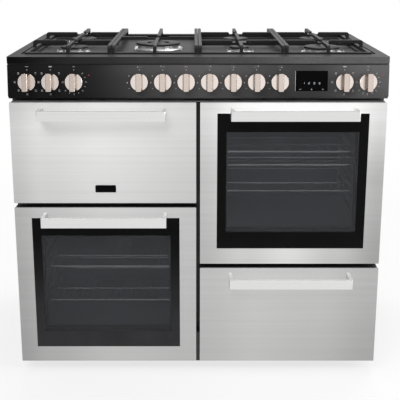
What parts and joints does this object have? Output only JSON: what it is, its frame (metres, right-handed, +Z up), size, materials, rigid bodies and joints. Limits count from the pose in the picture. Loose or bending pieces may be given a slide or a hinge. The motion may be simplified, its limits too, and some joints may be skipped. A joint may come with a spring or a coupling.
{
  "type": "dual fuel range cooker",
  "caption": "Wide steel range cooker with gas burners under cast pan supports, a grill door, glazed oven doors, a storage drawer and knobs on a sloping dark panel.",
  "frame": {"origin": "on the floor, under the middle of the overall box", "axes": "+X to the cooker's right as its user sees it, +Y from the doors to the back, +Z up"},
  "size_m": [1, 0.657, 0.924],
  "materials": {
    "black_enamel": "gloss enamel",
    "dark_paint": "satin",
    "oven_enamel": "speckled enamel",
    "panel_grey": "satin",
    "brushed_steel": "brushed",
    "zinc_steel": "zinc plated",
    "dark_element": "heat darkened",
    "warm_knob": "satin",
    "burner_alloy": "satin",
    "cast_black": "satin enamel",
    "chrome_wire": "polished",
    "door_glass": "gloss with a black border",
    "lamp_glass": "ribbed",
    "display_black": "gloss",
    "switch_plastic": "matte",
    "terminal_plastic": "matte",
    "plug_ceramic": "glazed",
    "tap_brass": "dull",
    "seal_rubber": "matte"
  },
  "bodies": {
    "casing": {"outer_panels": "black_enamel", "base_tray": "zinc_steel", "front_frame": "black_enamel", "vent_rail": "dark_paint", "control_panel": "panel_grey", "clock_display": "display_black", "hob_tray": "black_enamel", "burner_crowns": "burner_alloy", "burner_caps": "cast_black", "spark_plugs": "plug_ceramic", "gas_manifold": "tap_brass", "oven_switches": "switch_plastic", "grill_cavity": "oven_enamel", "main_oven_cavity": "oven_enamel", "fan_oven_cavity": "oven_enamel", "fan_covers": "oven_enamel", "fan_motors": "zinc_steel", "heating_elements": "dark_element", "shelf_ladders": "chrome_wire", "oven_lamps": "lamp_glass", "grill_pan": "oven_enamel", "main_oven_shelves": "chrome_wire", "fan_oven_shelves": "chrome_wire", "door_seals": "seal_rubber", "hinge_brackets": "zinc_steel", "drawer_rails": "zinc_steel", "supply_fittings": "terminal_plastic"},
    "feet": {"levelling_feet": "zinc_steel"},
    "main_fan": {"main_oven_fan": "zinc_steel"},
    "rear_fan": {"fan_oven_fan": "zinc_steel"},
    "grill_door": {"grill_door_face": "brushed_steel", "grill_door_body": "dark_paint", "grill_door_handle": "brushed_steel"},
    "main_door": {"main_door_face": "brushed_steel", "main_door_body": "dark_paint", "main_door_glass": "door_glass", "main_door_handle": "brushed_steel"},
    "fan_door": {"fan_door_face": "brushed_steel", "fan_door_body": "dark_paint", "fan_door_glass": "door_glass", "fan_door_handle": "brushed_steel"},
    "drawer": {"drawer_face": "brushed_steel", "drawer_box": "dark_paint", "drawer_handle": "brushed_steel"},
    "support_left": {"pan_support_left": "cast_black"},
    "support_wok": {"pan_support_wok": "cast_black"},
    "support_middle": {"pan_support_middle": "cast_black"},
    "support_right": {"pan_support_right": "cast_black"},
    "knob_front_left_turning": {"knob_front_left": "warm_knob"},
    "knob_rear_left_turning": {"knob_rear_left": "warm_knob"},
    "knob_wok_turning": {"knob_wok": "warm_knob"},
    "knob_rear_middle_turning": {"knob_rear_middle": "warm_knob"},
    "knob_front_middle_turning": {"knob_front_middle": "warm_knob"},
    "knob_rear_right_turning": {"knob_rear_right": "warm_knob"},
    "knob_front_right_turning": {"knob_front_right": "warm_knob"},
    "knob_grill_turning": {"knob_grill": "warm_knob"},
    "knob_main_function_turning": {"knob_main_function": "warm_knob"},
    "knob_main_temperature_turning": {"knob_main_temperature": "warm_knob"},
    "knob_fan_function_turning": {"knob_fan_function": "warm_knob"},
    "knob_fan_temperature_turning": {"knob_fan_temperature": "warm_knob"}
  },
  "joints": [
    {"name": "feet_screw", "type": "slide", "parent": "casing", "child": "feet", "axis": [0, 0, -1], "range_m": [0, 0.03]},
    {"name": "main_fan_spin", "type": "hinge", "parent": "casing", "child": "main_fan", "pos_m": [-0.25265, 0.185, 0.2625], "axis": [0, 1, 0], "continuous": true},
    {"name": "rear_fan_spin", "type": "hinge", "parent": "casing", "child": "rear_fan", "pos_m": [0.25265, 0.185, 0.5545], "axis": [0, 1, 0], "continuous": true},
    {"name": "grill_door_hinge", "type": "hinge", "parent": "casing", "child": "grill_door", "pos_m": [-0.25265, -0.248, 0.52], "axis": [1, 0, 0], "range_deg": [0, 90], "stiffness_Nm_per_rad": 2, "springref_deg": -68.75},
    {"name": "main_door_hinge", "type": "hinge", "parent": "casing", "child": "main_door", "pos_m": [-0.25265, -0.248, 0.051], "axis": [1, 0, 0], "range_deg": [0, 85], "stiffness_Nm_per_rad": 2, "springref_deg": -68.75},
    {"name": "fan_door_hinge", "type": "hinge", "parent": "casing", "child": "fan_door", "pos_m": [0.25265, -0.248, 0.345], "axis": [1, 0, 0], "range_deg": [0, 90], "stiffness_Nm_per_rad": 2, "springref_deg": -68.75},
    {"name": "drawer_slide", "type": "slide", "parent": "casing", "child": "drawer", "axis": [0, -1, 0], "range_m": [0, 0.3]},
    {"name": "support_left_lift", "type": "slide", "parent": "casing", "child": "support_left", "axis": [0, 0, 1], "range_m": [0, 0.15]},
    {"name": "support_wok_lift", "type": "slide", "parent": "casing", "child": "support_wok", "axis": [0, 0, 1], "range_m": [0, 0.15]},
    {"name": "support_middle_lift", "type": "slide", "parent": "casing", "child": "support_middle", "axis": [0, 0, 1], "range_m": [0, 0.15]},
    {"name": "support_right_lift", "type": "slide", "parent": "casing", "child": "support_right", "axis": [0, 0, 1], "range_m": [0, 0.15]},
    {"name": "knob_front_left_turn", "type": "hinge", "parent": "casing", "child": "knob_front_left_turning", "pos_m": [-0.1543, -0.2743, 0.83396], "axis": [0, -0.9954, 0.0958], "range_deg": [0, 180]},
    {"name": "knob_rear_left_turn", "type": "hinge", "parent": "casing", "child": "knob_rear_left_turning", "pos_m": [-0.0929, -0.2743, 0.83396], "axis": [0, -0.9954, 0.0958], "range_deg": [0, 180]},
    {"name": "knob_wok_turn", "type": "hinge", "parent": "casing", "child": "knob_wok_turning", "pos_m": [-0.0315, -0.2743, 0.83396], "axis": [0, -0.9954, 0.0958], "range_deg": [0, 180]},
    {"name": "knob_rear_middle_turn", "type": "hinge", "parent": "casing", "child": "knob_rear_middle_turning", "pos_m": [0.0299, -0.2743, 0.83396], "axis": [0, -0.9954, 0.0958], "range_deg": [0, 180]},
    {"name": "knob_front_middle_turn", "type": "hinge", "parent": "casing", "child": "knob_front_middle_turning", "pos_m": [0.0913, -0.2743, 0.83396], "axis": [0, -0.9954, 0.0958], "range_deg": [0, 180]},
    {"name": "knob_rear_right_turn", "type": "hinge", "parent": "casing", "child": "knob_rear_right_turning", "pos_m": [0.1527, -0.2743, 0.83396], "axis": [0, -0.9954, 0.0958], "range_deg": [0, 180]},
    {"name": "knob_front_right_turn", "type": "hinge", "parent": "casing", "child": "knob_front_right_turning", "pos_m": [0.2141, -0.2743, 0.83396], "axis": [0, -0.9954, 0.0958], "range_deg": [0, 180]},
    {"name": "knob_grill_turn", "type": "hinge", "parent": "casing", "child": "knob_grill_turning", "pos_m": [-0.4486, -0.2743, 0.83396], "axis": [0, 0.9954, -0.0958], "range_deg": [0, 270]},
    {"name": "knob_main_function_turn", "type": "hinge", "parent": "casing", "child": "knob_main_function_turning", "pos_m": [-0.3872, -0.2743, 0.83396], "axis": [0, 0.9954, -0.0958], "continuous": true},
    {"name": "knob_main_temperature_turn", "type": "hinge", "parent": "casing", "child": "knob_main_temperature_turning", "pos_m": [-0.3258, -0.2743, 0.83396], "axis": [0, 0.9954, -0.0958], "range_deg": [0, 270]},
    {"name": "knob_fan_function_turn", "type": "hinge", "parent": "casing", "child": "knob_fan_function_turning", "pos_m": [0.383, -0.2743, 0.83396], "axis": [0, 0.9954, -0.0958], "continuous": true},
    {"name": "knob_fan_temperature_turn", "type": "hinge", "parent": "casing", "child": "knob_fan_temperature_turning", "pos_m": [0.4444, -0.2743, 0.83396], "axis": [0, 0.9954, -0.0958], "range_deg": [0, 270]}
  ]
}
